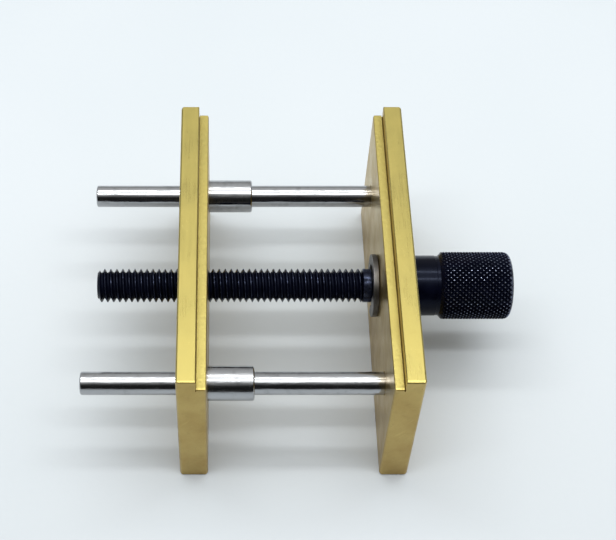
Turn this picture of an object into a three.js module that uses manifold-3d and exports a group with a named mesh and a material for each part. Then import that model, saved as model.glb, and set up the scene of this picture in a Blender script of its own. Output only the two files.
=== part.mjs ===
// Watch movement holder: a small bench clamp for one watch movement.
// Two stepped brass jaws stand on edge. The fixed jaw carries two steel guide rods and a captive
// screw with a knurled knob. The sliding jaw runs on the rods in two steel bushes, and the screw's
// thread passes through it, so turning the knob opens and closes the gap.
// Millimetres, +X towards the knob, +Y towards the rear, +Z up. The exported group's origin is at
// the middle of the bounding box, on the surface that the jaws stand on.
import * as THREE from "three";
import { mergeVertices } from "three/addons/utils/BufferGeometryUtils.js";
import Module from "manifold-3d";

// Driving dimensions. X positions are measured from the middle of the gap between the jaws.
const JAW_GAP = 19.6;
const JAW_LENGTH = 38;
const JAW_HEIGHT = 20.5;
const JAW_THICKNESS = 3.2;
const JAW_CHAMFER = 0.2;
const LEDGE_WIDTH = 1.1;
const LEDGE_DROP = 1.5;
const RELIEF_GROOVE = 0.25;
const AXIS_HEIGHT = 10.7;

const ROD_RADIUS = 1.3;
const ROD_SPACING = 26.4;
const FRONT_ROD_END = -23.9;
const REAR_ROD_END = -23.4;
const ROD_RECESS = 0.1;
const ROD_CHAMFER = 0.2;

const BUSH_RADIUS = 1.95;
const BUSH_REACH = 5.2;
const BUSH_CHAMFER = 0.15;

const THREAD_MAJOR = 1.95;
const THREAD_MINOR = 1.52;
const THREAD_PITCH = 0.7;
const THREAD_START = -22.6;
const THREAD_RUNOUT = 8.6;
const THREAD_CHAMFER = 0.3;
const THREAD_CLEARANCE = 0.1;
const THREAD_STEPS = 16;

const CLIP_THICKNESS = 0.6;
const CLIP_RADIUS = 3.65;
const CLIP_CAVITY_RADIUS = 2.5;
const CLIP_LUG_WIDTH = 1.3;
const CLIP_LUG_ANGLE = 1.85;
const CLIP_MOUTH_WIDTH = 2.7;
const CLIP_GROOVE_RADIUS = 1.6;
const CLIP_TO_JAW = 0.1;

const HUB_RADIUS = 3.5;
const HUB_LENGTH = 3.8;
const HUB_CHAMFER = 0.2;
const KNURL_RADIUS = 3.9;
const KNURL_LENGTH = 8.4;
const KNOB_CORNER = 0.8;
const KNOB_BORE_DEPTH = 8;
const SPINDLE_TAIL_LENGTH = 7.8;

const GRUB_RADIUS = 1;
const GRUB_LENGTH = 1.3;
const GRUB_CHAMFER = 0.2;
const GRUB_SOCKET_RADIUS = 0.52;
const GRUB_SOCKET_DEPTH = 0.7;
const GRUB_ANGLE = -Math.PI / 4;

const PRESS_GAP = 0.01;
const RUNNING_GAP = 0.05;
const ROUND_SEGMENTS = 32;
const OVERCUT = 1;

// Derived positions.
const FACE_X = JAW_GAP / 2;
const OUTER_X = FACE_X + JAW_THICKNESS;
const ROD_Y = ROD_SPACING / 2;
const CLIP_END_X = FACE_X - CLIP_TO_JAW;
const KNOB_START_X = OUTER_X + RUNNING_GAP;
const KNURL_START_X = KNOB_START_X + HUB_LENGTH;
const KNOB_END_X = KNURL_START_X + KNURL_LENGTH;
const GRUB_X = KNOB_START_X + HUB_LENGTH / 2;
const GRUB_SEAT = THREAD_MAJOR + RUNNING_GAP;

const wasm = await Module();
wasm.setup();

/** A closed three.js geometry as a manifold-3d solid. */
function solidOf(geometry) {
  geometry.deleteAttribute("normal");
  geometry.deleteAttribute("uv");
  const merged = mergeVertices(geometry);
  return new wasm.Manifold(
    new wasm.Mesh({
      numProp: 3,
      vertProperties: merged.getAttribute("position").array,
      triVerts: new Uint32Array(merged.getIndex().array),
    }),
  );
}

/** A manifold-3d solid as a three.js geometry. */
function geometryOf(solid) {
  const { vertProperties, triVerts } = solid.getMesh();
  const geometry = new THREE.BufferGeometry();
  geometry.setAttribute("position", new THREE.BufferAttribute(vertProperties, 3));
  geometry.setIndex(new THREE.BufferAttribute(triVerts, 1));
  geometry.computeVertexNormals();
  return geometry;
}

/** A solid of revolution about the X axis through [x, radius] stations, closed on the axis. */
function turned(stations) {
  const closed = [[stations[0][0], 0], ...stations, [stations.at(-1)[0], 0]];
  const points = closed.map(([x, radius]) => new THREE.Vector2(radius, x));
  return new THREE.LatheGeometry(points, ROUND_SEGMENTS).rotateZ(-Math.PI / 2);
}

/** A plain cylinder along X between two stations. */
function cylinder(startX, endX, radius) {
  return turned([
    [startX, radius],
    [endX, radius],
  ]);
}

/** A cylinder along X with a small chamfer at each end. */
function chamferedCylinder(startX, endX, radius, chamfer) {
  return turned([
    [startX, radius - chamfer],
    [startX + chamfer, radius],
    [endX - chamfer, radius],
    [endX, radius - chamfer],
  ]);
}

/**
 * A right-hand V thread along X that covers startX to endX and runs on past both. Rows of vertices
 * follow the helix, roots and crests by turns, and each row joins the next but one after a full
 * turn. Its phase is set by X alone, so two threads of one pitch are always in mesh.
 */
function threadGeometry(startX, endX, major, minor) {
  const firstTurn = Math.floor(startX / THREAD_PITCH) - 2;
  const turns = Math.ceil(endX / THREAD_PITCH) + 2 - firstTurn;
  const rows = 2 * turns;
  const positions = [];
  for (let row = 0; row < rows; row += 1) {
    const radius = row % 2 ? major : minor;
    for (let step = 0; step < THREAD_STEPS; step += 1) {
      const turn = step / THREAD_STEPS;
      const angle = 2 * Math.PI * turn;
      const x = (firstTurn + row / 2 + turn) * THREAD_PITCH;
      positions.push(x, radius * Math.cos(angle), radius * Math.sin(angle));
    }
  }
  const at = (row, step) =>
    step < THREAD_STEPS ? row * THREAD_STEPS + step : (row + 2) * THREAD_STEPS;
  const index = [];
  for (let row = 0; row < rows - 1; row += 1) {
    for (let step = 0; step < THREAD_STEPS; step += 1) {
      if (step === THREAD_STEPS - 1 && row > rows - 4) continue;
      const a = at(row, step);
      const b = at(row + 1, step);
      const c = at(row + 1, step + 1);
      const d = at(row, step + 1);
      index.push(a, d, b, d, c, b);
    }
  }

  // Each end is closed by a fan from its open edge to a point on the axis, later cut away.
  const steps = [...Array(THREAD_STEPS).keys()];
  const last = rows - 1;
  const startLoop = [...steps.map((step) => at(0, step)).reverse(), at(1, 0), at(2, 0)];
  const endLoop = [
    ...steps.map((step) => at(last, step)),
    at(last - 1, THREAD_STEPS - 1),
    at(last - 2, THREAD_STEPS - 1),
  ];
  const fans = [
    [startLoop, (firstTurn - 1) * THREAD_PITCH],
    [endLoop, (firstTurn + turns + 1) * THREAD_PITCH],
  ];
  for (const [loop, apexX] of fans) {
    const apex = positions.length / 3;
    positions.push(apexX, 0, 0);
    loop.forEach((vertex, i) => index.push(vertex, loop[(i + 1) % loop.length], apex));
  }
  const geometry = new THREE.BufferGeometry();
  geometry.setAttribute("position", new THREE.Float32BufferAttribute(positions, 3));
  geometry.setIndex(index);
  return geometry;
}

/**
 * A jaw blank with its inner face at x = 0 and its outer face at x = JAW_THICKNESS. The top has a
 * lower ledge on the inner side, with a relief groove where the ledge meets the upstand.
 */
function jawBlank() {
  const c = JAW_CHAMFER;
  const g = RELIEF_GROOVE / 2;
  const ledge = JAW_HEIGHT - LEDGE_DROP;
  const outline = new THREE.Shape(
    [
      [c, 0],
      [JAW_THICKNESS - c, 0],
      [JAW_THICKNESS, c],
      [JAW_THICKNESS, JAW_HEIGHT - c],
      [JAW_THICKNESS - c, JAW_HEIGHT],
      [LEDGE_WIDTH + c, JAW_HEIGHT],
      [LEDGE_WIDTH, JAW_HEIGHT - c],
      [LEDGE_WIDTH, ledge + 2 * g],
      [LEDGE_WIDTH + g, ledge + g],
      [LEDGE_WIDTH + g, ledge - 2 * g],
      [LEDGE_WIDTH - g, ledge - 2 * g],
      [LEDGE_WIDTH - g, ledge],
      [c, ledge],
      [0, ledge - c],
      [0, c],
    ].map(([x, z]) => new THREE.Vector2(x, z)),
  );
  const depth = JAW_LENGTH - 2 * c;
  const blank = new THREE.ExtrudeGeometry(outline, {
    depth,
    bevelThickness: c,
    bevelSize: c,
    bevelOffset: -c,
    bevelSegments: 1,
  });
  return blank.translate(0, 0, -depth / 2).rotateX(Math.PI / 2);
}

/** The holes for the guide rods or bushes, as one cutting solid along X. */
function guideHoles(startX, endX, radius) {
  const hole = () => cylinder(startX - OVERCUT, endX + OVERCUT, radius);
  const front = solidOf(hole().translate(0, -ROD_Y, AXIS_HEIGHT));
  return front.add(solidOf(hole().translate(0, ROD_Y, AXIS_HEIGHT)));
}

function fixedJaw() {
  const blank = solidOf(jawBlank().translate(FACE_X, 0, 0));
  const journal = cylinder(FACE_X - OVERCUT, OUTER_X + OVERCUT, THREAD_MAJOR + RUNNING_GAP);
  return geometryOf(
    blank
      .subtract(guideHoles(FACE_X, OUTER_X, ROD_RADIUS + PRESS_GAP))
      .subtract(solidOf(journal.translate(0, 0, AXIS_HEIGHT))),
  );
}

function slidingJaw() {
  const blank = solidOf(jawBlank().rotateZ(Math.PI).translate(-FACE_X, 0, 0));
  const tap = threadGeometry(
    -OUTER_X - OVERCUT,
    -FACE_X + OVERCUT,
    THREAD_MAJOR + THREAD_CLEARANCE,
    THREAD_MINOR + THREAD_CLEARANCE,
  );
  return geometryOf(
    blank
      .subtract(guideHoles(-OUTER_X, -FACE_X, BUSH_RADIUS + PRESS_GAP))
      .subtract(solidOf(tap.translate(0, 0, AXIS_HEIGHT))),
  );
}

function guideRod(freeEndX) {
  return chamferedCylinder(freeEndX, OUTER_X - ROD_RECESS, ROD_RADIUS, ROD_CHAMFER);
}

/** A plain bush through the sliding jaw, standing out on its inner side. */
function guideBush() {
  const startX = -OUTER_X + ROD_RECESS;
  const endX = -FACE_X + BUSH_REACH;
  const bore = cylinder(startX - OVERCUT, endX + OVERCUT, ROD_RADIUS + RUNNING_GAP);
  const sleeve = chamferedCylinder(startX, endX, BUSH_RADIUS, BUSH_CHAMFER);
  return geometryOf(solidOf(sleeve).subtract(solidOf(bore)));
}

/** The screw: threaded length, collar, clip groove, plain journal and the tail inside the knob. */
function clampSpindle() {
  const thread = solidOf(threadGeometry(THREAD_START, THREAD_RUNOUT, THREAD_MAJOR, THREAD_MINOR));
  const envelope = turned([
    [THREAD_START, THREAD_MAJOR - THREAD_CHAMFER],
    [THREAD_START + THREAD_CHAMFER, THREAD_MAJOR + PRESS_GAP],
    [THREAD_RUNOUT, THREAD_MAJOR + PRESS_GAP],
  ]);
  const clipStartX = CLIP_END_X - CLIP_THICKNESS;
  const shank = turned([
    [THREAD_RUNOUT - THREAD_PITCH, THREAD_MINOR],
    [THREAD_RUNOUT - THREAD_PITCH / 2, THREAD_MAJOR],
    [clipStartX - RUNNING_GAP, THREAD_MAJOR],
    [clipStartX - RUNNING_GAP, CLIP_GROOVE_RADIUS],
    [CLIP_END_X + RUNNING_GAP, CLIP_GROOVE_RADIUS],
    [CLIP_END_X + RUNNING_GAP, THREAD_MAJOR],
    [KNOB_START_X + SPINDLE_TAIL_LENGTH, THREAD_MAJOR],
  ]);
  return geometryOf(thread.intersect(solidOf(envelope)).add(solidOf(shank)));
}

/** The E-shaped clip that keeps the screw in the fixed jaw: a ring with three lugs and a mouth. */
function retainingClip() {
  const startX = CLIP_END_X - CLIP_THICKNESS;
  const disc = (radius, over) => solidOf(cylinder(startX - over, CLIP_END_X + over, radius));
  const bar = (width, angle) => {
    const length = CLIP_RADIUS + OVERCUT;
    const box = new THREE.BoxGeometry(CLIP_THICKNESS + 4 * OVERCUT, width, length);
    return solidOf(box.translate(startX, 0, length / 2).rotateX(angle));
  };
  let hollow = disc(CLIP_CAVITY_RADIUS, OVERCUT);
  for (const angle of [0, CLIP_LUG_ANGLE, -CLIP_LUG_ANGLE]) {
    hollow = hollow.subtract(bar(CLIP_LUG_WIDTH, angle));
  }
  return geometryOf(
    disc(CLIP_RADIUS, 0)
      .subtract(hollow)
      .subtract(disc(CLIP_GROOVE_RADIUS + PRESS_GAP, OVERCUT))
      .subtract(bar(CLIP_MOUTH_WIDTH, Math.PI)),
  );
}

/** The knob: a plain hub beside the jaw and a larger grip with a rounded end, bored blind. */
function knurledKnob() {
  const corner = [0, 1, 2, 3].map((i) => {
    const angle = (i / 3) * (Math.PI / 2);
    return [
      KNOB_END_X - KNOB_CORNER * (1 - Math.sin(angle)),
      KNURL_RADIUS - KNOB_CORNER * (1 - Math.cos(angle)),
    ];
  });
  const body = turned([
    [KNOB_START_X, HUB_RADIUS - HUB_CHAMFER],
    [KNOB_START_X + HUB_CHAMFER, HUB_RADIUS],
    [KNURL_START_X, HUB_RADIUS],
    [KNURL_START_X + KNURL_RADIUS - HUB_RADIUS, KNURL_RADIUS],
    ...corner,
  ]);
  const bore = cylinder(
    KNOB_START_X - OVERCUT,
    KNOB_START_X + KNOB_BORE_DEPTH,
    THREAD_MAJOR + PRESS_GAP,
  );
  const grubHole = cylinder(0, HUB_RADIUS + OVERCUT, GRUB_RADIUS + PRESS_GAP)
    .rotateZ(Math.PI / 2)
    .rotateX(GRUB_ANGLE)
    .translate(GRUB_X, 0, 0);
  return geometryOf(solidOf(body).subtract(solidOf(bore)).subtract(solidOf(grubHole)));
}

/** The grub screw, along +X from its seat on the spindle, with a hexagon socket in its outer end. */
function knobGrubScrew() {
  const body = chamferedCylinder(0, GRUB_LENGTH, GRUB_RADIUS, GRUB_CHAMFER);
  const socket = new THREE.CylinderGeometry(
    GRUB_SOCKET_RADIUS,
    GRUB_SOCKET_RADIUS,
    2 * GRUB_SOCKET_DEPTH,
    6,
  );
  socket.rotateZ(-Math.PI / 2).translate(GRUB_LENGTH, 0, 0);
  return geometryOf(solidOf(body).subtract(solidOf(socket)));
}

const brass = new THREE.MeshStandardMaterial({ color: 0xcbb056, roughness: 0.42, metalness: 1 });
const steel = new THREE.MeshStandardMaterial({ color: 0xc4c6c8, roughness: 0.16, metalness: 1 });
const blackSteel = new THREE.MeshStandardMaterial({
  color: 0x14161a,
  roughness: 0.45,
  metalness: 0.6,
});
const springSteel = new THREE.MeshStandardMaterial({
  color: 0x3a3a3c,
  roughness: 0.35,
  metalness: 1,
});

function named(name, geometry, material) {
  const mesh = new THREE.Mesh(geometry, material);
  mesh.name = name;
  return mesh;
}

const holder = new THREE.Group();
const frame = new THREE.Group();
frame.position.x = -(FRONT_ROD_END + KNOB_END_X) / 2;
holder.add(frame);

frame.add(named("fixed_jaw", fixedJaw(), brass), named("sliding_jaw", slidingJaw(), brass));
for (const [side, y, freeEndX] of [
  ["front", -ROD_Y, FRONT_ROD_END],
  ["rear", ROD_Y, REAR_ROD_END],
]) {
  const rod = named(`guide_rod_${side}`, guideRod(freeEndX), steel);
  const bush = named(`guide_bush_${side}`, guideBush(), steel);
  rod.position.set(0, y, AXIS_HEIGHT);
  bush.position.set(0, y, AXIS_HEIGHT);
  frame.add(rod, bush);
}

const screwAxis = new THREE.Group();
screwAxis.position.z = AXIS_HEIGHT;
const grubAxis = new THREE.Group();
grubAxis.rotation.x = GRUB_ANGLE;
const grub = named("knob_grub_screw", knobGrubScrew(), blackSteel);
grub.rotation.z = Math.PI / 2;
grub.position.set(GRUB_X, GRUB_SEAT, 0);
grubAxis.add(grub);
screwAxis.add(
  named("clamp_spindle", clampSpindle(), blackSteel),
  named("retaining_clip", retainingClip(), springSteel),
  named("knurled_knob", knurledKnob(), blackSteel),
  grubAxis,
);
frame.add(screwAxis);

export default holder;
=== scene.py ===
import math

import bmesh
import bpy
from mathutils import Matrix, Vector


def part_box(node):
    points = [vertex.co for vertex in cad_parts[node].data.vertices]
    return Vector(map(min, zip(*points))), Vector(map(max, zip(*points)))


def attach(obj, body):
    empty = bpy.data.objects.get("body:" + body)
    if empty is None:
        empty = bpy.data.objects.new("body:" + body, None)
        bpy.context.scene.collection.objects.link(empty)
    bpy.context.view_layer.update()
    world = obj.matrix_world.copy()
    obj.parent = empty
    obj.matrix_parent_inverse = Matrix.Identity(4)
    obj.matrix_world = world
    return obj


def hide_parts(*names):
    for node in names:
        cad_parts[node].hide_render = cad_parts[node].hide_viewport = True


# A watch movement holder: two stepped brass jaws on polished guide rods, drawn together by a
# black screw with a diamond-knurled knob. Shapes are made in millimetres, at the places of the
# CAD nodes that they stand for, and each is scaled to metres when it is finished.

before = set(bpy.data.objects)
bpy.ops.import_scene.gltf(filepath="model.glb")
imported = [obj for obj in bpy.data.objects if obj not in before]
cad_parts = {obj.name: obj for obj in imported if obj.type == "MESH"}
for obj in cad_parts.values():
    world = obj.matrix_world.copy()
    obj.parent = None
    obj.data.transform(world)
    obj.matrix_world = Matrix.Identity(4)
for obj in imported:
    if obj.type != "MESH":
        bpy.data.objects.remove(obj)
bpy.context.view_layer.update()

METRE = 1000.0


def box_mm(node):
    """A CAD node's lowest and highest corners in millimetres."""
    low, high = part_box(node)
    return low * METRE, high * METRE


FIXED_LOW, FIXED_HIGH = box_mm("fixed_jaw")
SLIDING_LOW, SLIDING_HIGH = box_mm("sliding_jaw")
ROD_LOW, ROD_HIGH = box_mm("guide_rod_rear")
BUSH_LOW, BUSH_HIGH = box_mm("guide_bush_front")
SPINDLE_LOW, SPINDLE_HIGH = box_mm("clamp_spindle")
KNOB_LOW, KNOB_HIGH = box_mm("knurled_knob")
CLIP_LOW, CLIP_HIGH = box_mm("retaining_clip")
GRUB_LOW, GRUB_HIGH = box_mm("knob_grub_screw")

AXIS_Z = (ROD_LOW.z + ROD_HIGH.z) / 2
GAP_MIDDLE = (SLIDING_HIGH.x + FIXED_LOW.x) / 2
ROD_RADIUS = (ROD_HIGH.z - ROD_LOW.z) / 2
ROD_Y = (ROD_LOW.y + ROD_HIGH.y) / 2
BUSH_RADIUS = (BUSH_HIGH.z - BUSH_LOW.z) / 2
THREAD_MAJOR = (SPINDLE_HIGH.y - SPINDLE_LOW.y) / 2
GRIP_RADIUS = (KNOB_HIGH.y - KNOB_LOW.y) / 2
CLIP_RADIUS = (CLIP_HIGH.y - CLIP_LOW.y) / 2

# Sizes below are in millimetres unless a comment says otherwise.

# The jaws. The shares say how much of JAW_EDGE is broken off each kind of edge. The relief is the
# groove at the back of each ledge. WORN_EDGE_DROP and WORN_LEDGE_DROP are how far the fixed jaw's
# top and both ledges are worn down at the front end, over WORN_EDGE_LENGTH.
JAW_EDGE = 0.3
EDGE_SHARE_UPRIGHT = 1.0
EDGE_SHARE_FOOT = 1.0
EDGE_SHARE_FOOT_END = 0.55
EDGE_SHARE_OUTER_TOP = 0.75
EDGE_SHARE_OTHER = 0.4
LEDGE_WIDTH = 1.1
LEDGE_DROP = 1.5
RELIEF_WIDTH = 0.17
RELIEF_WIDTH_SLIDING = 0.115
RELIEF_DEPTH = 0.3
RELIEF_UNDERCUT = 0.06
WORN_EDGE_LENGTH = 0.32
WORN_EDGE_DROP = 0.09
WORN_LEDGE_DROP = 0.05
ROD_HOLE_EDGE = 0.12
BUSH_HOLE_EDGE = 0.1
JOURNAL_HOLE_EDGE = 0.15

# The rods and bushes, and the gaps that all round fits are made with.
ROD_EDGE = 0.13
BUSH_BACK_EDGE = 0.12
BUSH_NOSE_EDGE = 0.15
RUNNING_GAP = 0.05
PRESS_GAP = 0.012

# The thread. Its phase and the widths of its root and crest are shares of the pitch.
THREAD_MINOR = 1.52
THREAD_PITCH = 0.7
THREAD_PHASE = 0.22
THREAD_ROOT_SHARE = 0.2
THREAD_CREST_SHARE = 0.09
THREAD_ROOT_SAG = 0.02
THREAD_CLEARANCE = 0.08
THREAD_RUNOUT = 1.15
THREAD_CHAMFER = 0.42
THREAD_COUNTERSINK = 0.2
THREAD_SEGMENTS = 48

# Where the thread ends, the shank rises from this far under its root, just before its end and
# over SHANK_RISE after it. ENVELOPE_GAP keeps the turned outline clear of the crests.
SHANK_SINK = (0.06, 0.04)
SHANK_RISE_START = 0.05
SHANK_RISE = 0.18
ENVELOPE_GAP = 0.02

# The retaining clip. CLIP_LUG_ANGLE is in radians from the top.
CLIP_GROOVE_RADIUS = 1.6
CLIP_CAVITY_RADIUS = 2.5
CLIP_LUG_WIDTH = 1.3
CLIP_LUG_ANGLE = 1.85
CLIP_MOUTH_WIDTH = 2.7
CLIP_EDGE = 0.05

# The knob. KNURL_TIP and the first of KNURL_FLANK_FOOT are shares of a diamond's half width, and
# the second is a share of KNURL_DEPTH.
HUB_RADIUS = 3.5
HUB_LENGTH = GRUB_LOW.x + GRUB_HIGH.x - 2 * KNOB_LOW.x
HUB_EDGE = 0.2
HUB_NECK_DEPTH = 0.05
HUB_NECK_LENGTH = 0.4
KNOB_CORNER = 0.8
KNOB_DOME = 0.22
KNOB_DOME_MIDDLE = 0.03
KNOB_BORE_DEPTH = 8.0
KNOB_BORE_POINT = 0.4
SPINDLE_TAIL = 7.8
KNURL_DEPTH = 0.2
KNURL_AROUND = 42
KNURL_PITCH = 0.68
KNURL_TIP = 0.2
KNURL_FLANK_FOOT = (0.88, 0.93)
KNURL_START = KNOB_LOW.x + HUB_LENGTH

# Beyond KNOB_ROUNDING_X the knurl's crests fall by about this much times the square of x.
KNOB_ROUNDING_X = KNOB_HIGH.x - KNOB_DOME - KNOB_CORNER
KNOB_ROUNDING_FALL = 0.48

GRUB_RADIUS = 1.0
GRUB_LENGTH = 1.3
GRUB_ANGLE = -math.pi / 4
GRUB_POINT_EDGE = 0.25
GRUB_HEAD_EDGE = 0.18
GRUB_SOCKET_RADIUS = 0.52
GRUB_SOCKET_DEPTH = 0.7
GRUB_SOCKET_POINT = 0.2

# How round shapes are divided, how far cutters reach past what they cut, and how near counts as
# the same place.
ROUND_SEGMENTS = 96
OVERCUT = 1.0
NEAR = 0.01

# Painted shade on the paper: its colour is lightest from the first Y place below backwards and
# falls to the darkest share at the second, standing in for shade on the floor in front.
# FLOOR_HALF is in metres.
FLOOR_HALF = 6.0
PAPER_UNSHADED_Y = 35.0
PAPER_PAINTED_SHADE_Y = -200.0
PAPER_PAINTED_SHADE_DARKEST = 0.53

# Angles over the object in degrees from the front horizon, with the room's brightness there.
ROOM_BRIGHTNESS = [
    (0, 0.07),
    (15, 0.016),
    (32, 0.022),
    (44, 0.05),
    (49, 0.15),
    (54, 0.24),
    (59, 0.34),
    (65, 0.72),
    (74, 2.1),
    (114, 2.1),
    (125, 1.17),
    (133, 0.74),
    (140, 0.76),
    (150, 0.68),
    (165, 0.50),
    (180, 0.42),
]
ROOM_BRIGHTEST = max(brightness for degrees, brightness in ROOM_BRIGHTNESS)
ROOM_TINT = (0.985, 1.0, 1.0)
BACKDROP_COLOUR = (0.83, 0.91, 0.95, 1)

# The two strip lamps, in metres, at their angles from the front horizon in degrees.
STRIP_ANGLES = {"front": 80.5, "back": 108.5}
STRIP_DISTANCE = 2.4
STRIP_LENGTH = 3.0
STRIP_WIDTH = 0.18
STRIP_BRIGHTNESS = 12.0

# The camera looks down by CAMERA_PITCH along +Y.
CAMERA_LENS = 82.55
CAMERA_SHIFT = 0.1337
CAMERA_PITCH = math.radians(54.63)
CAMERA_PLACE = Vector((GAP_MIDDLE - 7.785, -93.624, 145.704)) / METRE


# Shapes ---------------------------------------------------------------------------------------


def mesh_object(name, vertices, faces):
    """A new mesh object, in millimetres, with its faces turned outwards."""
    mesh = bpy.data.meshes.new(name)
    mesh.from_pydata([tuple(v) for v in vertices], [], faces)
    shape = bmesh.new()
    shape.from_mesh(mesh)
    bmesh.ops.recalc_face_normals(shape, faces=shape.faces)
    if shape.calc_volume(signed=True) < 0:
        bmesh.ops.reverse_faces(shape, faces=shape.faces)
    shape.to_mesh(mesh)
    shape.free()
    made = bpy.data.objects.new(name, mesh)
    bpy.context.scene.collection.objects.link(made)
    return made


def apply_modifiers(piece):
    """Replaces the piece's mesh by the result of its modifiers."""
    graph = bpy.context.evaluated_depsgraph_get()
    result = bpy.data.meshes.new_from_object(piece.evaluated_get(graph))
    before = piece.data
    piece.modifiers.clear()
    piece.data = result
    bpy.data.meshes.remove(before)


def combine(piece, other, operation):
    """Joins other to the piece, cuts it away or keeps what both share, and removes other."""
    step = piece.modifiers.new("combine", "BOOLEAN")
    step.operation = operation
    step.solver = "MANIFOLD"
    step.object = other
    bpy.context.view_layer.update()
    apply_modifiers(piece)
    bpy.data.objects.remove(other)


def cut(piece, *cutters):
    for cutter in cutters:
        combine(piece, cutter, "DIFFERENCE")


def eased(corners, steps=4):
    """An outline of (x, radius, ease) corners, each rounded off over its ease distance."""
    points = []
    for i, (x, radius, ease) in enumerate(corners):
        corner = Vector((x, radius))
        if not ease:
            points.append(corner)
            continue
        before = (Vector(corners[i - 1][:2]) - corner).normalized() * ease + corner
        after = (Vector(corners[(i + 1) % len(corners)][:2]) - corner).normalized() * ease + corner
        for step in range(steps + 1):
            t = step / steps
            points.append(before * (1 - t) ** 2 + corner * 2 * t * (1 - t) + after * t**2)
    return points


def lathe(name, outline, segments=ROUND_SEGMENTS, ring=False):
    """Turns an outline of (x, radius) points about the X axis. A ring's outline closes on itself."""
    vertices = []
    rows = []
    for x, radius in outline:
        if radius < 1e-6:
            rows.append([len(vertices)] * segments)
            vertices.append((x, 0, 0))
            continue
        rows.append([len(vertices) + i for i in range(segments)])
        for i in range(segments):
            angle = 2 * math.pi * i / segments
            vertices.append((x, radius * math.cos(angle), radius * math.sin(angle)))
    faces = []
    pairs = list(zip(rows, rows[1:]))
    if ring:
        pairs.append((rows[-1], rows[0]))
    for first, second in pairs:
        for i in range(segments):
            j = (i + 1) % segments
            corners = [first[i], first[j], second[j], second[i]]
            faces.append(list(dict.fromkeys(corners)))
    return mesh_object(name, vertices, faces)


def cylinder(start, end, radius):
    return lathe("cutter", [(start, 0), (start, radius), (end, radius), (end, 0)])


def placed(piece, x=0.0, y=0.0, z=0.0, turn=0.0):
    """Turns the piece's mesh about the X axis and then moves it."""
    piece.data.transform(Matrix.Translation((x, y, z)) @ Matrix.Rotation(turn, 4, "X"))
    return piece


def hole_cutter(start, end, radius, y, chamfer):
    """A cutter for a round hole through from start to end, with both its edges broken."""
    flare = radius + chamfer + OVERCUT
    outline = [
        (start - OVERCUT, 0),
        (start - OVERCUT, flare),
        (start + chamfer, radius),
        (end - chamfer, radius),
        (end + OVERCUT, flare),
        (end + OVERCUT, 0),
    ]
    return placed(lathe("cutter", outline), y=y, z=AXIS_Z)


def thread(name, start, end, major, minor):
    """A right-hand 60 degree thread about the X axis that covers start to end and runs past both.

    Its rows of vertices follow the helix, and its profile is a list of places in shares of the
    pitch, with their radii. Its phase is set by x alone, counted from the middle of the jaws'
    gap, so a screw and a nut made with it are in mesh.
    """
    profile = [
        (-THREAD_ROOT_SHARE / 2, minor),
        (0.0, minor - THREAD_ROOT_SAG),
        (THREAD_ROOT_SHARE / 2, minor),
        (0.5 - THREAD_CREST_SHARE / 2, major),
        (0.5 + THREAD_CREST_SHARE / 2, major),
    ]
    first = math.floor((start - GAP_MIDDLE) / THREAD_PITCH) - 2
    turns = math.ceil((end - GAP_MIDDLE) / THREAD_PITCH) + 2 - first
    per_turn = len(profile)
    rows = turns * per_turn
    vertices = []
    for row in range(rows):
        offset, radius = profile[row % per_turn]
        for i in range(THREAD_SEGMENTS):
            turn = i / THREAD_SEGMENTS
            turns_on = first + row // per_turn + offset + turn + THREAD_PHASE
            x = GAP_MIDDLE + turns_on * THREAD_PITCH
            angle = 2 * math.pi * turn
            vertices.append((x, radius * math.cos(angle), radius * math.sin(angle)))

    def at(row, i):
        if i < THREAD_SEGMENTS:
            return row * THREAD_SEGMENTS + i
        return (row + per_turn) * THREAD_SEGMENTS

    faces = []
    for row in range(rows - 1):
        for i in range(THREAD_SEGMENTS):
            if i == THREAD_SEGMENTS - 1 and row + 1 + per_turn >= rows:
                continue
            faces.append([at(row, i), at(row + 1, i), at(row + 1, i + 1), at(row, i + 1)])

    last = rows - 1
    start_loop = [at(0, i) for i in range(THREAD_SEGMENTS)]
    start_loop += [at(row, 0) for row in range(per_turn, 0, -1)]
    end_loop = [at(last, i) for i in range(THREAD_SEGMENTS)]
    end_loop += [at(last - row, THREAD_SEGMENTS - 1) for row in range(1, per_turn + 1)]
    for loop, apex_x in (
        (start_loop, GAP_MIDDLE + (first - 2) * THREAD_PITCH),
        (end_loop, GAP_MIDDLE + (first + turns + 2) * THREAD_PITCH),
    ):
        apex = len(vertices)
        vertices.append((apex_x, 0, 0))
        for i, vertex in enumerate(loop):
            faces.append([vertex, loop[(i + 1) % len(loop)], apex])
    return mesh_object(name, vertices, faces)


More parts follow.
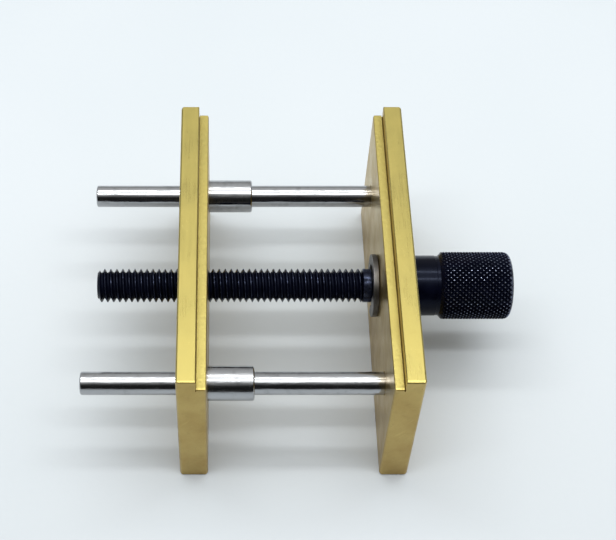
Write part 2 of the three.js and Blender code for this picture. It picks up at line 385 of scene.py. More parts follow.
def knurled_bar(name, start, end):
    """A bar with a diamond knurl: flat-topped pyramids between two crossing sets of V grooves.

    The lattice has half a diamond per step. Points whose two indices add up to an odd number are
    the middles of diamonds, and the others are where the grooves cross.
    """
    steps_along = 2 * math.ceil((end - start) / KNURL_PITCH)
    steps_around = 2 * KNURL_AROUND
    vertices = []
    faces = []

    def point(i, j, radius):
        angle = 2 * math.pi * i / steps_around
        return (
            start + j * KNURL_PITCH / 2,
            radius * math.cos(angle),
            radius * math.sin(angle),
        )

    crossings = {}
    for j in range(steps_along + 1):
        for i in range(j % 2, steps_around, 2):
            crossings[i, j] = len(vertices)
            vertices.append(point(i, j, GRIP_RADIUS - KNURL_DEPTH))

    foot_share, foot_depth = KNURL_FLANK_FOOT
    rings = [(KNURL_TIP, GRIP_RADIUS), (foot_share, GRIP_RADIUS - foot_depth * KNURL_DEPTH)]
    for j in range(1, steps_along):
        for i in range((j + 1) % 2, steps_around, 2):
            corners = [(i + 1, j), (i, j + 1), (i - 1, j), (i, j - 1)]
            loops = []
            for share, radius in rings:
                loop = []
                for a, b in corners:
                    loop.append(len(vertices))
                    vertices.append(point(i + (a - i) * share, j + (b - j) * share, radius))
                loops.append(loop)
            loops.append([crossings[a % steps_around, b] for a, b in corners])
            faces.append(loops[0])
            for inner, outer in zip(loops, loops[1:]):
                for k in range(4):
                    m = (k + 1) % 4
                    faces.append([inner[k], inner[m], outer[m], outer[k]])

    for edge, beside, apex_x in (
        (0, 1, start - OVERCUT),
        (steps_along, steps_along - 1, end + OVERCUT),
    ):
        apex = len(vertices)
        vertices.append((apex_x, 0, 0))
        for i in range(edge % 2, steps_around, 2):
            near = crossings[(i + 1) % steps_around, beside]
            faces.append([crossings[i, edge], near, apex])
            faces.append([near, crossings[(i + 2) % steps_around, edge], apex])
    return mesh_object(name, vertices, faces)


def finished(piece, material, slot, body, *nodes, sharp=38):
    """Shades the piece, scales it to metres, and puts it in place of its CAD nodes."""
    mesh = piece.data
    mesh.shade_smooth()
    mesh.set_sharp_from_angle(angle=math.radians(sharp))
    weighted = piece.modifiers.new("weighted", "WEIGHTED_NORMAL")
    weighted.keep_sharp = True
    apply_modifiers(piece)
    piece.data.transform(Matrix.Scale(1 / METRE, 4))
    piece.data.name = piece.name
    piece.data.materials.clear()
    piece.data.materials.append(material)
    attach(piece, body)
    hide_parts(*nodes)
    return piece


# Materials ------------------------------------------------------------------------------------


def add(tree, kind, inputs=None, **settings):
    """Adds a shader node, sets its properties, and sets or links its inputs by name or index."""
    made = tree.nodes.new(kind)
    for key, value in settings.items():
        setattr(made, key, value)
    for key, value in (inputs or {}).items():
        if isinstance(value, bpy.types.NodeSocket):
            tree.links.new(value, made.inputs[key])
        else:
            made.inputs[key].default_value = value
    return made


def new_material(name, **shader_values):
    """A material with a Principled shader. Returns it, its tree and the shader."""
    material = bpy.data.materials.new(name)
    material.use_nodes = True
    tree = material.node_tree
    shader = tree.nodes["Principled BSDF"]
    for key, value in shader_values.items():
        shader.inputs[key.replace("_", " ")].default_value = value
    return material, tree, shader


def millimetres(tree, stretch=(1, 1, 1), turn=(0, 0, 0)):
    """The object's own coordinates in millimetres, stretched and turned for a texture."""
    source = add(tree, "ShaderNodeTexCoord").outputs["Object"]
    turned = add(tree, "ShaderNodeMapping", {"Vector": source, "Rotation": turn})
    scale = [METRE * s for s in stretch]
    return add(tree, "ShaderNodeMapping", {"Vector": turned.outputs[0], "Scale": scale}).outputs[0]


def noise(tree, vector, scale, detail=3.0, roughness=0.55):
    values = {"Vector": vector, "Scale": scale, "Detail": detail, "Roughness": roughness}
    return add(tree, "ShaderNodeTexNoise", values).outputs["Fac"]


def ramp(tree, value, low, high, to_low=0.0, to_high=1.0):
    """Maps a value smoothly from the range low..high to the range to_low..to_high."""
    values = {
        "Value": value,
        "From Min": low,
        "From Max": high,
        "To Min": to_low,
        "To Max": to_high,
    }
    return add(tree, "ShaderNodeMapRange", values, interpolation_type="SMOOTHSTEP").outputs[0]


def math_node(tree, operation, first, second):
    return add(tree, "ShaderNodeMath", {0: first, 1: second}, operation=operation).outputs[0]


def blend_colour(tree, share, first, second):
    """Mixes two colours. A mix node's colour sockets are its inputs 6 and 7 and its output 2."""
    values = {0: share, 6: first, 7: second}
    return add(tree, "ShaderNodeMix", values, data_type="RGBA").outputs[2]


def scratches(tree, turn, low, high):
    """Sparse fine lines along one direction, the one that the turn brings onto X, as a mask."""
    stretched = millimetres(tree, (0.25, 9.0, 9.0), turn)
    lines = noise(tree, stretched, 1.0, 2.0, 0.4)
    patches = noise(tree, millimetres(tree), 0.35, 1.0)
    return math_node(tree, "MULTIPLY", ramp(tree, lines, low, high), ramp(tree, patches, 0.48, 0.6))


def axis_radius(tree, centre_y):
    """The distance from the X axis through (centre_y, AXIS_Z), in millimetres."""
    place = millimetres(tree)
    moved = add(
        tree, "ShaderNodeVectorMath", {0: place, 1: (0, -centre_y, -AXIS_Z)}, operation="ADD"
    ).outputs[0]
    flat = add(
        tree, "ShaderNodeVectorMath", {0: moved, 1: (0, 1, 1)}, operation="MULTIPLY"
    ).outputs[0]
    return add(tree, "ShaderNodeVectorMath", {0: flat}, operation="LENGTH").outputs["Value"]


def edge_wear(tree, radius_mm):
    """A mask of the convex edges, from how far the rounded normal leaves the true one."""
    soft = add(tree, "ShaderNodeBevel", {"Radius": radius_mm / METRE}, samples=4).outputs[0]
    true = add(tree, "ShaderNodeNewGeometry").outputs["Normal"]
    aligned = add(
        tree, "ShaderNodeVectorMath", {0: soft, 1: true}, operation="DOT_PRODUCT"
    ).outputs["Value"]
    return ramp(tree, aligned, 0.985, 0.9)


def bump(tree, height, distance_mm, strength=1.0, normal=None):
    values = {"Height": height, "Distance": distance_mm / METRE, "Strength": strength}
    if normal is not None:
        values["Normal"] = normal
    return add(tree, "ShaderNodeBump", values).outputs["Normal"]


def drive(tree, shader, **sockets):
    for key, value in sockets.items():
        tree.links.new(value, shader.inputs[key.replace("_", " ")])


def brass(name, light, dark, grain_stretch, grain_depth, roughness, soiled):
    """Satin brass: faint tarnish clouds, made stronger towards the bottom as painted shade, a
    directional grain, fine scratches and bright edges.

    light and dark are its clean and its tarnished colour, and dark also paints the shade towards the
    bottom. soiled is how strong its specks, stains and scratches are.
    """
    material, tree, shader = new_material(name, Metallic=1.0)
    place = millimetres(tree)
    clouds = noise(tree, place, 0.22, 3.0)
    specks = noise(tree, place, 5.0, 4.0, 0.65)
    grain = noise(tree, millimetres(tree, grain_stretch), 1.0, 4.0, 0.6)
    stains = noise(tree, place, 0.8, 4.0, 0.7)
    end_scratches = scratches(tree, (0.0, 0.9, 0.0), 0.62, 0.69)
    side_scratches = scratches(tree, (0.12, 0.0, math.pi / 2), 0.64, 0.71)
    marks = math_node(tree, "MAXIMUM", end_scratches, side_scratches)
    worn = edge_wear(tree, 0.12)

    # Painted shade: the tarnish clouds are strengthened towards the foot, so the brass is darker
    # towards the bottom.
    height = add(tree, "ShaderNodeSeparateXYZ", {0: place}).outputs["Z"]
    painted_shade_towards_foot = ramp(tree, height, FIXED_HIGH.z, 1.0, 0.35, 1.0)
    tarnish_and_painted_shade = math_node(tree, "MULTIPLY", ramp(tree, clouds, 0.25, 0.75, 0.2, 1.0), painted_shade_towards_foot)
    base = blend_colour(tree, tarnish_and_painted_shade, light, dark)
    speck_colour = [0.62 * c for c in dark[:3]] + [1]
    base = blend_colour(tree, ramp(tree, specks, 0.62, 0.8, 0, soiled), base, speck_colour)
    base = blend_colour(tree, ramp(tree, stains, 0.5, 0.75, 0, soiled / 2), base, speck_colour)
    edge_colour = [1.25 * c for c in light[:3]] + [1]
    base = blend_colour(tree, ramp(tree, marks, 0, 1, 0, 0.4), base, edge_colour)
    base = blend_colour(tree, ramp(tree, worn, 0, 1, 0, 0.55), base, edge_colour)
    rough = ramp(tree, clouds, 0.3, 0.7, *roughness)
    rough = math_node(tree, "ADD", rough, ramp(tree, grain, 0.2, 0.8, -0.05, 0.05))
    rough = math_node(tree, "SUBTRACT", rough, ramp(tree, worn, 0, 1, 0, 0.08))
    normal = bump(tree, grain, grain_depth)
    normal = bump(tree, specks, 0.0012, 1.0, normal)
    normal = bump(tree, ramp(tree, marks, 0, 1, 1, 0), 0.003 * soiled, 1.0, normal)
    drive(tree, shader, Base_Color=base, Roughness=rough, Normal=normal)
    return material


def polished_steel(name, centre_y, colour, roughness, grain_stretch):
    """Ground and polished steel: a soft waviness, fine lines and faced end rings."""
    material, tree, shader = new_material(name, Metallic=1.0)
    waves = noise(tree, millimetres(tree, (0.35, 1.2, 1.2)), 1.0, 2.0)
    lines = noise(tree, millimetres(tree, grain_stretch), 1.0, 3.0)
    stains = noise(tree, millimetres(tree), 0.9, 4.0, 0.6)
    facing = add(
        tree,
        "ShaderNodeTexNoise",
        {"W": axis_radius(tree, centre_y), "Scale": 14.0, "Detail": 2.0},
        noise_dimensions="1D",
    ).outputs["Fac"]
    shade = [0.82 * c for c in colour[:3]] + [1]
    base = blend_colour(tree, ramp(tree, stains, 0.5, 0.72), colour, shade)
    rough = ramp(tree, stains, 0.35, 0.7, *roughness)
    rough = math_node(tree, "ADD", rough, ramp(tree, lines, 0.3, 0.75, 0, 0.06))
    normal = bump(tree, waves, 0.03)
    normal = bump(tree, lines, 0.001, 1.0, normal)
    normal = bump(tree, facing, 0.002, 1.0, normal)
    drive(tree, shader, Base_Color=base, Roughness=rough, Normal=normal)
    return material


def black_oxide(name, wear_from, wear_to, wear_colour, roughness, root_radius=None):
    """Blackened steel: bluish black, with turned rings.

    Wear starts at the radius wear_from and is full at wear_to. The radius counts as larger where
    the knob's end is rounded off, so that the knurl is worn there too. Grime dulls a thread near
    its root_radius, where one is given.
    """
    material, tree, shader = new_material(
        name, IOR=1.45, Specular_IOR_Level=0.13, Specular_Tint=(0.6, 0.7, 1.0, 1)
    )
    place = millimetres(tree)
    clouds = noise(tree, place, 0.6, 4.0, 0.6)
    grain = noise(tree, place, 9.0, 3.0, 0.6)
    radius = axis_radius(tree, 0.0)
    turned = noise(tree, millimetres(tree, (7.0, 0.0, 0.0)), 1.0, 4.0, 0.7)
    along = add(tree, "ShaderNodeSeparateXYZ", {0: place}).outputs["X"]
    past = math_node(tree, "MAXIMUM", math_node(tree, "SUBTRACT", along, KNOB_ROUNDING_X), 0.0)
    fallen = math_node(tree, "MULTIPLY", math_node(tree, "POWER", past, 2.0), KNOB_ROUNDING_FALL)
    high = ramp(tree, math_node(tree, "ADD", radius, fallen), wear_from, wear_to)
    patchy = ramp(tree, noise(tree, place, 1.7, 3.0), 0.4, 0.62, 0.15, 1.0)
    worn = math_node(tree, "MULTIPLY", high, patchy)
    base = blend_colour(
        tree, ramp(tree, clouds, 0.3, 0.7), (0.0008, 0.001, 0.004, 1), (0.0022, 0.0028, 0.0085, 1)
    )
    base = blend_colour(tree, worn, base, wear_colour)
    rough = ramp(tree, clouds, 0.3, 0.7, *roughness)
    rough = math_node(tree, "ADD", rough, ramp(tree, grain, 0.3, 0.7, -0.04, 0.05))
    if root_radius is not None:
        grime = ramp(tree, radius, root_radius, root_radius + 0.16, 0.4, 0.0)
        rough = math_node(tree, "ADD", rough, grime)
    normal = bump(tree, turned, 0.003)
    normal = bump(tree, grain, 0.0015, 1.0, normal)
    drive(
        tree,
        shader,
        Base_Color=base,
        Roughness=rough,
        Normal=normal,
        Metallic=ramp(tree, worn, 0, 1, 0, 0.9),
    )
    return material


def spring_steel(name):
    """Dark phosphated spring steel, stamped flat, with a fine crystalline grain."""
    material, tree, shader = new_material(name, Metallic=1.0)
    place = millimetres(tree)
    crystals = noise(tree, place, 14.0, 4.0, 0.7)
    clouds = noise(tree, place, 0.8, 3.0)
    base = blend_colour(
        tree, ramp(tree, clouds, 0.3, 0.7), (0.085, 0.083, 0.085, 1), (0.15, 0.145, 0.14, 1)
    )
    worn = edge_wear(tree, 0.08)
    base = blend_colour(tree, ramp(tree, worn, 0, 1, 0, 0.6), base, (0.38, 0.37, 0.36, 1))
    rough = ramp(tree, crystals, 0.3, 0.7, 0.34, 0.52)
    drive(tree, shader, Base_Color=base, Roughness=rough, Normal=bump(tree, crystals, 0.002))
    return material


def floor_paper(name):
    """Matte, very slightly bluish white paper with a faint fibre, and painted shade that makes it a
    little darker at the front.
    """
    material, tree, shader = new_material(name)
    place = millimetres(tree)
    fibre = noise(tree, place, 1.4, 5.0, 0.6)
    clouds = noise(tree, place, 0.02, 2.0)
    base = blend_colour(
        tree, ramp(tree, clouds, 0.3, 0.7), (0.545, 0.583, 0.61, 1), (0.563, 0.598, 0.625, 1)
    )
    # Painted shade: the colour is scaled down towards the front, standing in for shade on the floor
    # there.
    depth = add(tree, "ShaderNodeSeparateXYZ", {0: place}).outputs["Y"]
    level = ramp(tree, depth, PAPER_PAINTED_SHADE_Y, PAPER_UNSHADED_Y, PAPER_PAINTED_SHADE_DARKEST, 1.0)
    base = add(
        tree, "ShaderNodeVectorMath", {0: base, "Scale": level}, operation="SCALE"
    ).outputs[0]
    rough = ramp(tree, fibre, 0.3, 0.7, 0.62, 0.72)
    drive(tree, shader, Base_Color=base, Roughness=rough, Normal=bump(tree, fibre, 0.01))
    return material


# The jaws -------------------------------------------------------------------------------------


def prism(name, outline, sections):
    """Joins copies of an (x, z) outline at the sections' Y places into one closed solid.

    Each section is (y, drops), where drops says by height how far the outline's points at that
    height are lowered there.
    """
    count = len(outline)
    vertices = []
    for y, drops in sections:
        vertices += [(x, y, z - drops.get(z, 0)) for x, z in outline]
    last = (len(sections) - 1) * count
    faces = [list(range(count)), list(range(last + count - 1, last - 1, -1))]
    for row in range(len(sections) - 1):
        for i in range(count):
            a = row * count + i
            b = row * count + (i + 1) % count
            faces.append([a, b, b + count, a + count])
    return mesh_object(name, vertices, faces)


def jaw_edge_share(edge, outer_x, step_x):
    """How much of JAW_EDGE is broken off one edge of the jaw blank. The groove's stay sharp."""
    first, second = (v.co for v in edge.verts)
    along = (second - first).normalized()
    middle = (first + second) / 2
    ledge = FIXED_HIGH.z - LEDGE_DROP
    in_depth = abs(middle.z - ledge) < RELIEF_DEPTH + NEAR
    in_groove = in_depth and abs(middle.x - step_x) < RELIEF_WIDTH
    at_end = abs(abs(middle.y) - FIXED_HIGH.y) < NEAR
    at_foot = middle.z < NEAR
    along_y = abs(along.y) > 0.9
    if in_groove or not (at_end or along_y):
        return 0.0
    if abs(along.z) > 0.9:
        return 0.0 if abs(middle.x - step_x) < NEAR else EDGE_SHARE_UPRIGHT
    if at_foot:
        return EDGE_SHARE_FOOT if along_y else EDGE_SHARE_FOOT_END
    if along_y and abs(middle.x - outer_x) < NEAR:
        return EDGE_SHARE_OUTER_TOP
    return EDGE_SHARE_OTHER


def jaw(name, inner_x, outer_x, relief_width, worn_drop=0.0):
    """A jaw blank with eased edges, its ledge on the inner side, and the ledge's relief groove.

    Both end faces stand at the CAD's Y limits. The top slopes down by worn_drop at the front end,
    and the ledge by WORN_LEDGE_DROP.
    """
    outward = 1 if outer_x > inner_x else -1
    top = FIXED_HIGH.z
    ledge = top - LEDGE_DROP
    step_x = inner_x + outward * LEDGE_WIDTH
    groove_wall = step_x + outward * RELIEF_UNDERCUT
    groove_side = groove_wall - outward * relief_width
    outline = [
        (inner_x, 0),
        (outer_x, 0),
        (outer_x, top),
        (step_x, top),
        (step_x, ledge + 2 * RELIEF_UNDERCUT),
        (groove_wall, ledge + RELIEF_UNDERCUT),
        (groove_wall, ledge - RELIEF_DEPTH),
        (groove_side, ledge - RELIEF_DEPTH),
        (groove_side, ledge),
        (inner_x, ledge),
    ]
    sections = [
        (FIXED_LOW.y, {top: worn_drop, ledge: WORN_LEDGE_DROP}),
        (FIXED_LOW.y + WORN_EDGE_LENGTH, {}),
        (FIXED_HIGH.y, {}),
    ]
    piece = prism(name, outline, sections)

    shape = bmesh.new()
    shape.from_mesh(piece.data)
    share = shape.edges.layers.float.new("bevel_weight_edge")
    for edge in shape.edges:
        edge[share] = jaw_edge_share(edge, outer_x, step_x)
    shape.to_mesh(piece.data)
    shape.free()
    edges = piece.modifiers.new("edges", "BEVEL")
    edges.width = JAW_EDGE
    edges.segments = 3
    edges.profile = 0.42
    edges.limit_method = "WEIGHT"
    edges.use_clamp_overlap = False
    apply_modifiers(piece)
    return piece


def mark_faces(piece, step_x, rolled, milled_top, milled_ledge, groove_shade_finish):
    """Gives the top and the ledge their own finishes, the relief groove a dark colour that paints
    its shade, and the rest the rolled.
    """
    piece.data.materials.clear()
    for material in (rolled, milled_top, milled_ledge, groove_shade_finish):
        piece.data.materials.append(material)
    ledge = FIXED_HIGH.z - LEDGE_DROP
    for face in piece.data.polygons:
        place = face.center * METRE
        in_groove = abs(place.x - step_x) < RELIEF_WIDTH and abs(face.normal.y) < 0.5
        if face.normal.z > 0.9 and abs(place.z - ledge) < 0.05:
            face.material_index = 2
        # The groove's faces get the dark colour that paints their shade.
        elif in_groove and abs(place.z - ledge) < RELIEF_DEPTH + NEAR:
            face.material_index = 3
        elif face.normal.z > 0.5 and place.z > ledge + LEDGE_DROP / 2:
            face.material_index = 1


def fixed_jaw(*finishes):
    piece = jaw("fixed_jaw_body", FIXED_LOW.x, FIXED_HIGH.x, RELIEF_WIDTH, WORN_EDGE_DROP)
    seat_radius = ROD_RADIUS + PRESS_GAP
    for y in (-ROD_Y, ROD_Y):
        cut(piece, hole_cutter(FIXED_LOW.x, FIXED_HIGH.x, seat_radius, y, ROD_HOLE_EDGE))
    journal_radius = THREAD_MAJOR + RUNNING_GAP
    cut(piece, hole_cutter(FIXED_LOW.x, FIXED_HIGH.x, journal_radius, 0, JOURNAL_HOLE_EDGE))
    finished(piece, finishes[0], "jaw_brass", "frame", "fixed_jaw")
    mark_faces(piece, FIXED_LOW.x + LEDGE_WIDTH, *finishes)


def sliding_jaw(*finishes):
    piece = jaw("sliding_jaw_body", SLIDING_HIGH.x, SLIDING_LOW.x, RELIEF_WIDTH_SLIDING)
    seat_radius = BUSH_RADIUS + PRESS_GAP
    for y in (-ROD_Y, ROD_Y):
        cut(piece, hole_cutter(SLIDING_LOW.x, SLIDING_HIGH.x, seat_radius, y, BUSH_HOLE_EDGE))
    tap = thread(
        "cutter",
        SLIDING_LOW.x - OVERCUT,
        SLIDING_HIGH.x + OVERCUT,
        THREAD_MAJOR + THREAD_CLEARANCE,
        THREAD_MINOR + THREAD_CLEARANCE,
    )
    cut(piece, placed(tap, z=AXIS_Z))
    countersink = THREAD_MAJOR + THREAD_COUNTERSINK
    for face_x, away in ((SLIDING_LOW.x, -1), (SLIDING_HIGH.x, 1)):
        outline = [
            (face_x - away * countersink, 0),
            (face_x + away * OVERCUT, countersink + OVERCUT),
            (face_x + away * OVERCUT, 0),
        ]
        cut(piece, placed(lathe("cutter", outline), z=AXIS_Z))
    finished(piece, finishes[0], "jaw_brass", "slider", "sliding_jaw")
    mark_faces(piece, SLIDING_HIGH.x - LEDGE_WIDTH, *finishes)


# The guides -----------------------------------------------------------------------------------


def guide_rod(side, y, material):
    low, high = box_mm(f"guide_rod_{side}")
    corners = [
        (low.x, 0, 0),
        (low.x, ROD_RADIUS - ROD_EDGE, 0.04),
        (low.x + ROD_EDGE, ROD_RADIUS, 0.06),
        (high.x - ROD_EDGE, ROD_RADIUS, 0.06),
        (high.x, ROD_RADIUS - ROD_EDGE, 0.04),
        (high.x, 0, 0),
    ]
    piece = placed(lathe(f"guide_rod_{side}_polished", eased(corners)), y=y, z=AXIS_Z)
    finished(piece, material, "rod_steel", "frame", f"guide_rod_{side}")


def guide_bush(side, y, material):
    bore = ROD_RADIUS + RUNNING_GAP
    low, high = BUSH_LOW.x, BUSH_HIGH.x
    corners = [
        (low, BUSH_RADIUS - BUSH_BACK_EDGE, 0.04),
        (low + BUSH_BACK_EDGE, BUSH_RADIUS, 0.06),
        (high - BUSH_NOSE_EDGE, BUSH_RADIUS, 0.07),
        (high, BUSH_RADIUS - BUSH_NOSE_EDGE, 0.07),
        (high, bore + BUSH_NOSE_EDGE, 0.04),
        (high - BUSH_NOSE_EDGE, bore, 0.05),
        (low + BUSH_NOSE_EDGE, bore, 0.05),
        (low, bore + BUSH_NOSE_EDGE, 0.04),
    ]
    name = f"guide_bush_{side}_turned"
    piece = placed(lathe(name, eased(corners), ring=True), y=y, z=AXIS_Z)
    finished(piece, material, "bush_steel", "slider", f"guide_bush_{side}")


# The screw and its knob -----------------------------------------------------------------------


def clamp_spindle(material):
    """The screw: chamfered thread, collar, clip groove, plain journal and the tail in the knob."""
    start = SPINDLE_LOW.x
    runout = CLIP_LOW.x - THREAD_RUNOUT
    piece = thread("clamp_spindle_screw", start, runout, THREAD_MAJOR, THREAD_MINOR)
    clear = THREAD_MAJOR + ENVELOPE_GAP
    lead = [
        (start, 0, 0),
        (start, THREAD_MAJOR - THREAD_CHAMFER, 0.05),
        (start + THREAD_CHAMFER, clear, 0),
        (runout, clear, 0),
        (runout, 0, 0),
    ]
    combine(piece, lathe("envelope", eased(lead)), "INTERSECT")
    groove_start = CLIP_LOW.x - RUNNING_GAP
    groove_end = CLIP_HIGH.x + RUNNING_GAP
    tail_end = KNOB_LOW.x + SPINDLE_TAIL
    first_sink, last_sink = SHANK_SINK
    corners = [
        (runout - THREAD_PITCH, 0, 0),
        (runout - THREAD_PITCH, THREAD_MINOR - first_sink, 0),
        (runout - SHANK_RISE_START, THREAD_MINOR - last_sink, 0.05),
        (runout + SHANK_RISE, THREAD_MAJOR, 0.06),
        (groove_start, THREAD_MAJOR, 0.04),
        (groove_start, CLIP_GROOVE_RADIUS, 0.03),
        (groove_end, CLIP_GROOVE_RADIUS, 0.03),
        (groove_end, THREAD_MAJOR, 0.04),
        (tail_end, THREAD_MAJOR, 0.1),
        (tail_end, 0, 0),
    ]
    combine(piece, lathe("shank", eased(corners)), "UNION")
    placed(piece, z=AXIS_Z)
    finished(piece, material, "black_screw", "spindle", "clamp_spindle", sharp=32)


def clip_outline():
    """The clip's (y, z) outline: three lugs reach in to the screw's groove, the mouth is below."""
    seat = CLIP_GROOVE_RADIUS + PRESS_GAP

    def arc(radius, first, last, steps):
        angles = [first + (last - first) * i / steps for i in range(steps + 1)]
        return [(radius * math.sin(a), radius * math.cos(a)) for a in angles]

    def lug_half(radius):
        return math.asin(CLIP_LUG_WIDTH / 2 / radius)

    def mouth_edge(radius):
        return math.pi - math.asin(CLIP_MOUTH_WIDTH / 2 / radius)

    low_y, low_z = math.cos(CLIP_LUG_ANGLE), -math.sin(CLIP_LUG_ANGLE)
    corner_reach = (CLIP_MOUTH_WIDTH - CLIP_LUG_WIDTH * low_y) / 2 / -low_z
    lug_corner = (CLIP_MOUTH_WIDTH / 2, corner_reach * low_y + CLIP_LUG_WIDTH / 2 * low_z)
    half = arc(seat, 0, lug_half(seat), 4)
    half += arc(
        CLIP_CAVITY_RADIUS,
        lug_half(CLIP_CAVITY_RADIUS),
        CLIP_LUG_ANGLE - lug_half(CLIP_CAVITY_RADIUS),
        14,
    )
    half += arc(seat, CLIP_LUG_ANGLE - lug_half(seat), mouth_edge(seat), 6)
    half.append(lug_corner)
    half += arc(
        CLIP_CAVITY_RADIUS,
        CLIP_LUG_ANGLE + lug_half(CLIP_CAVITY_RADIUS),
        mouth_edge(CLIP_CAVITY_RADIUS),
        5,
    )
    half += arc(CLIP_RADIUS, mouth_edge(CLIP_RADIUS), 0, 36)
    return half + [(-y, z) for y, z in half[-2:0:-1]]


def retaining_clip(material):
    """The E-shaped clip, stamped from sheet, with its edges slightly rounded."""
    outline = clip_outline()
    count = len(outline)
    vertices = [(x, y, z) for x in (CLIP_LOW.x, CLIP_HIGH.x) for y, z in outline]
    faces = [list(range(count)), list(range(2 * count - 1, count - 1, -1))]
    for i in range(count):
        j = (i + 1) % count
        faces.append([i, j, j + count, i + count])
    piece = mesh_object("retaining_clip_stamped", vertices, faces)
    edges = piece.modifiers.new("edges", "BEVEL")
    edges.width = CLIP_EDGE
    edges.segments = 2
    edges.limit_method = "ANGLE"
    edges.angle_limit = math.radians(40)
    apply_modifiers(piece)
    placed(piece, z=AXIS_Z)
    finished(piece, material, "spring_steel", "spindle", "retaining_clip")


def knurled_knob(material):
    """The knob: a plain turned hub, and a grip that is knurled first and then turned to shape."""
    end = KNOB_HIGH.x
    chamfer = GRIP_RADIUS - HUB_RADIUS
    neck_radius = HUB_RADIUS - HUB_NECK_DEPTH
    grip_outline = [
        (KNURL_START - HUB_NECK_DEPTH, 0, 0),
        (KNURL_START - HUB_NECK_DEPTH, neck_radius, 0),
        (KNURL_START + chamfer, GRIP_RADIUS, 0.05),
        (end - KNOB_DOME, GRIP_RADIUS, KNOB_CORNER),
        (end - KNOB_DOME_MIDDLE, GRIP_RADIUS / 2, 0.6),
        (end, 0, 0),
    ]
    piece = knurled_bar("knurled_knob_turned", KNURL_START - KNURL_PITCH, end + KNURL_PITCH)
    combine(piece, lathe("envelope", eased(grip_outline, 8)), "INTERSECT")
    hub_outline = [
        (KNOB_LOW.x, 0, 0),
        (KNOB_LOW.x, HUB_RADIUS - HUB_EDGE, 0.06),
        (KNOB_LOW.x + HUB_EDGE, HUB_RADIUS, 0.1),
        (KNURL_START - HUB_NECK_LENGTH - HUB_NECK_DEPTH, HUB_RADIUS, 0.04),
        (KNURL_START - HUB_NECK_LENGTH, neck_radius, 0.02),
        (KNURL_START + OVERCUT, neck_radius, 0),
        (KNURL_START + OVERCUT, 0, 0),
    ]
    combine(piece, lathe("hub", eased(hub_outline)), "UNION")
    bore = lathe(
        "bore",
        [
            (KNOB_LOW.x - OVERCUT, 0),
            (KNOB_LOW.x - OVERCUT, THREAD_MAJOR + OVERCUT + HUB_EDGE),
            (KNOB_LOW.x + HUB_EDGE, THREAD_MAJOR + PRESS_GAP),
            (KNOB_LOW.x + KNOB_BORE_DEPTH, THREAD_MAJOR + PRESS_GAP),
            (KNOB_LOW.x + KNOB_BORE_DEPTH + KNOB_BORE_POINT, 0),
        ],
    )
    grub_hole = cylinder(0, HUB_RADIUS + OVERCUT, GRUB_RADIUS + PRESS_GAP)
    cut(piece, bore, along_grub_axis(grub_hole))
    placed(piece, z=AXIS_Z)
    finished(piece, material, "black_knob", "spindle", "knurled_knob", sharp=24)


def along_grub_axis(piece):
    """Turns a shape made along +X from the origin onto the grub screw's axis, screw axis at z 0."""
    middle = (GRUB_LOW.x + GRUB_HIGH.x) / 2
    piece.data.transform(Matrix.Rotation(math.pi / 2, 4, "Z"))
    return placed(piece, x=middle, turn=GRUB_ANGLE)


def knob_grub_screw(material):
    """The grub screw below the hub's surface, with a hexagon socket."""
    seat = THREAD_MAJOR + RUNNING_GAP
    end = seat + GRUB_LENGTH
    corners = [
        (seat, 0, 0),
        (seat, GRUB_RADIUS - GRUB_POINT_EDGE, 0.05),
        (seat + GRUB_POINT_EDGE, GRUB_RADIUS, 0.05),
        (end - GRUB_HEAD_EDGE, GRUB_RADIUS, 0.05),
        (end, GRUB_RADIUS - GRUB_HEAD_EDGE, 0.05),
        (end, 0, 0),
    ]
    piece = lathe("knob_grub_screw_socket", eased(corners))
    socket_outline = [
        (end - GRUB_SOCKET_DEPTH - GRUB_SOCKET_POINT, 0),
        (end - GRUB_SOCKET_DEPTH, GRUB_SOCKET_RADIUS),
        (end + OVERCUT, GRUB_SOCKET_RADIUS),
        (end + OVERCUT, 0),
    ]
    cut(piece, lathe("socket", socket_outline, segments=6))
    mouth_outline = [
        (end - GRUB_SOCKET_RADIUS, 0),
        (end + OVERCUT, GRUB_SOCKET_RADIUS + OVERCUT),
        (end + OVERCUT, 0),
    ]
    cut(piece, lathe("mouth", mouth_outline))
    placed(along_grub_axis(piece), z=AXIS_Z)
    finished(piece, material, "black_screw", "spindle", "knob_grub_screw")


# The stage ------------------------------------------------------------------------------------


def stage_floor():
    """A square sheet of paper of FLOOR_HALF metres each way, as a grid of steps by steps faces."""
    half = METRE * FLOOR_HALF
    steps = 24
    places = [half * (2 * i / steps - 1) for i in range(steps + 1)]
    vertices = [(x, y, 0) for y in places for x in places]
    faces = []
    row = steps + 1
    for j in range(steps):
        for i in range(steps):
            a = j * row + i
            faces.append([a, a + 1, a + row + 1, a + row])
    floor = mesh_object("stage_floor", vertices, faces)
    floor.data.transform(Matrix.Scale(1 / METRE, 4))
    floor.data.materials.append(floor_paper("stage_paper"))


def softbox(name, centre, size, watts, colour):
    """A rectangular area light that faces the object."""
    lamp = bpy.data.lights.new(name, "AREA")
    lamp.shape = "RECTANGLE"
    lamp.size, lamp.size_y = size
    lamp.energy = watts
    lamp.color = colour
    light = bpy.data.objects.new(name, lamp)
    light.location = centre
    light.rotation_mode = "QUATERNION"
    light.rotation_quaternion = Vector(centre).to_track_quat("Z", "Y")
    light.visible_camera = False
    bpy.context.scene.collection.objects.link(light)


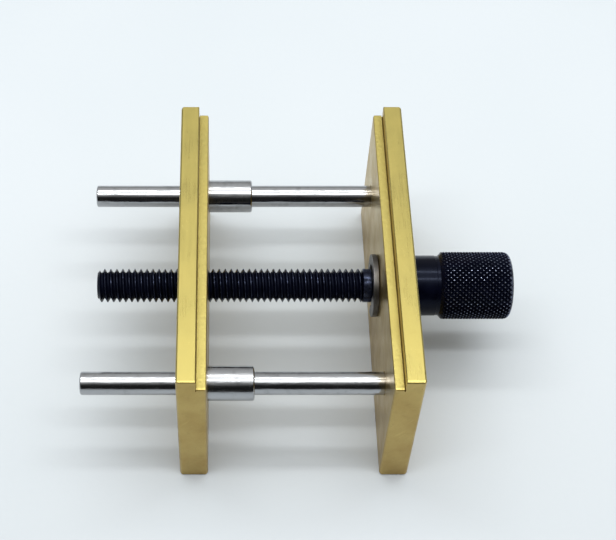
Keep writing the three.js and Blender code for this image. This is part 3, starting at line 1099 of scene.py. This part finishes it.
def studio_world():
    """A soft room whose brightness follows the angle over the object, from front to back.

    It is dark in front, bright above, and falls off slowly behind and to both sides. The camera
    itself sees a plain pale backdrop where it looks past the floor.
    """
    world = bpy.data.worlds.new("studio")
    world.use_nodes = True
    tree = world.node_tree
    background = tree.nodes["Background"]
    direction = add(tree, "ShaderNodeTexCoord").outputs["Generated"]
    parts = add(tree, "ShaderNodeSeparateXYZ", {0: direction}).outputs
    forward = math_node(tree, "MULTIPLY", parts["Y"], -1.0)
    angle = math_node(tree, "ARCTAN2", parts["Z"], forward)
    share = math_node(tree, "DIVIDE", angle, math.pi)
    curve = add(tree, "ShaderNodeValToRGB", {0: share})
    stops = curve.color_ramp.elements
    while len(stops) > 1:
        stops.remove(stops[-1])
    for i, (degrees, brightness) in enumerate(ROOM_BRIGHTNESS):
        stop = stops[0] if i == 0 else stops.new(degrees / 180)
        stop.position = degrees / 180
        stop.color = [brightness / ROOM_BRIGHTEST] * 3 + [1]
    aside = math_node(tree, "ABSOLUTE", parts["X"], 0.0)
    fade = ramp(tree, aside, 0.45, 0.9, 1.0, 0.22)
    shape = math_node(tree, "MULTIPLY", curve.outputs["Color"], fade)
    level = math_node(tree, "MULTIPLY", shape, ROOM_BRIGHTEST)
    room = add(tree, "ShaderNodeVectorMath", {0: ROOM_TINT, "Scale": level}, operation="SCALE")
    seen = add(tree, "ShaderNodeLightPath").outputs["Is Camera Ray"]
    sky = blend_colour(tree, seen, room.outputs[0], BACKDROP_COLOUR)
    tree.links.new(sky, background.inputs["Color"])
    bpy.context.scene.world = world


def strip_light(name, degrees):
    """A long lamp over the object, parallel to the screw, at an angle from the front horizon."""
    angle = math.radians(degrees)
    place = (0.0, -STRIP_DISTANCE * math.cos(angle), STRIP_DISTANCE * math.sin(angle))
    watts = STRIP_BRIGHTNESS * math.pi * STRIP_LENGTH * STRIP_WIDTH
    softbox(name, place, (STRIP_LENGTH, STRIP_WIDTH), watts, ROOM_TINT)


def stage_camera():
    data = bpy.data.cameras.new("camera")
    data.sensor_width = 36
    data.lens = CAMERA_LENS
    data.shift_x = CAMERA_SHIFT
    data.clip_start = 0.01
    data.clip_end = 50
    camera = bpy.data.objects.new("camera", data)
    camera.location = CAMERA_PLACE
    camera.rotation_euler = (math.pi / 2 - CAMERA_PITCH, 0, 0)
    bpy.context.scene.collection.objects.link(camera)
    bpy.context.scene.camera = camera


stage_camera()
stage_floor()
studio_world()
for side, degrees in STRIP_ANGLES.items():
    strip_light(f"strip_lamp_{side}", degrees)
bpy.context.scene.view_settings.view_transform = "Standard"

lemon = ((0.41, 0.342, 0.11, 1), (0.378, 0.30, 0.087, 1))
olive = ((0.49, 0.365, 0.12, 1), (0.36, 0.228, 0.062, 1))
# The groove's dark brown is painted shade, standing in for the shade inside the narrow relief
# groove.
groove_painted_shade = ((0.19, 0.122, 0.038, 1), (0.09, 0.055, 0.016, 1))
brass_finishes = (
    brass(
        "brass_rolled",
        *olive,
        grain_stretch=(3.0, 0.6, 3.0),
        grain_depth=0.003,
        roughness=(0.30, 0.40),
        soiled=0.4,
    ),
    brass(
        "brass_milled_top",
        *lemon,
        grain_stretch=(5.0, 0.25, 5.0),
        grain_depth=0.0022,
        roughness=(0.27, 0.36),
        soiled=0.18,
    ),
    brass(
        "brass_milled_ledge",
        *lemon,
        grain_stretch=(4.0, 2.2, 4.0),
        grain_depth=0.04,
        roughness=(0.33, 0.45),
        soiled=0.35,
    ),
    brass(
        "brass_groove_painted_shade",
        *groove_painted_shade,
        grain_stretch=(6.0, 1.5, 6.0),
        grain_depth=0.02,
        roughness=(0.5, 0.65),
        soiled=0.5,
    ),
)
steel_colour = (0.425, 0.43, 0.44, 1)
black_screw = black_oxide(
    "black_oxide_screw",
    wear_from=THREAD_MAJOR - 0.06,
    wear_to=THREAD_MAJOR + 0.02,
    wear_colour=(0.04, 0.047, 0.075, 1),
    roughness=(0.17, 0.26),
    root_radius=THREAD_MINOR,
)
black_knob = black_oxide(
    "black_oxide_knob",
    wear_from=GRIP_RADIUS - 0.04,
    wear_to=GRIP_RADIUS - 0.005,
    wear_colour=(0.21, 0.235, 0.31, 1),
    roughness=(0.14, 0.21),
)

fixed_jaw(*brass_finishes)
sliding_jaw(*brass_finishes)
for side, y in (("front", -ROD_Y), ("rear", ROD_Y)):
    rod_finish = polished_steel(
        f"steel_rod_{side}", y, steel_colour, roughness=(0.07, 0.14), grain_stretch=(0.4, 12.0, 12.0)
    )
    bush_finish = polished_steel(
        f"steel_bush_{side}", y, steel_colour, roughness=(0.08, 0.16), grain_stretch=(9.0, 0.3, 0.3)
    )
    guide_rod(side, y, rod_finish)
    guide_bush(side, y, bush_finish)
clamp_spindle(black_screw)
retaining_clip(spring_steel("spring_steel_dark"))
knurled_knob(black_knob)
knob_grub_screw(black_screw)
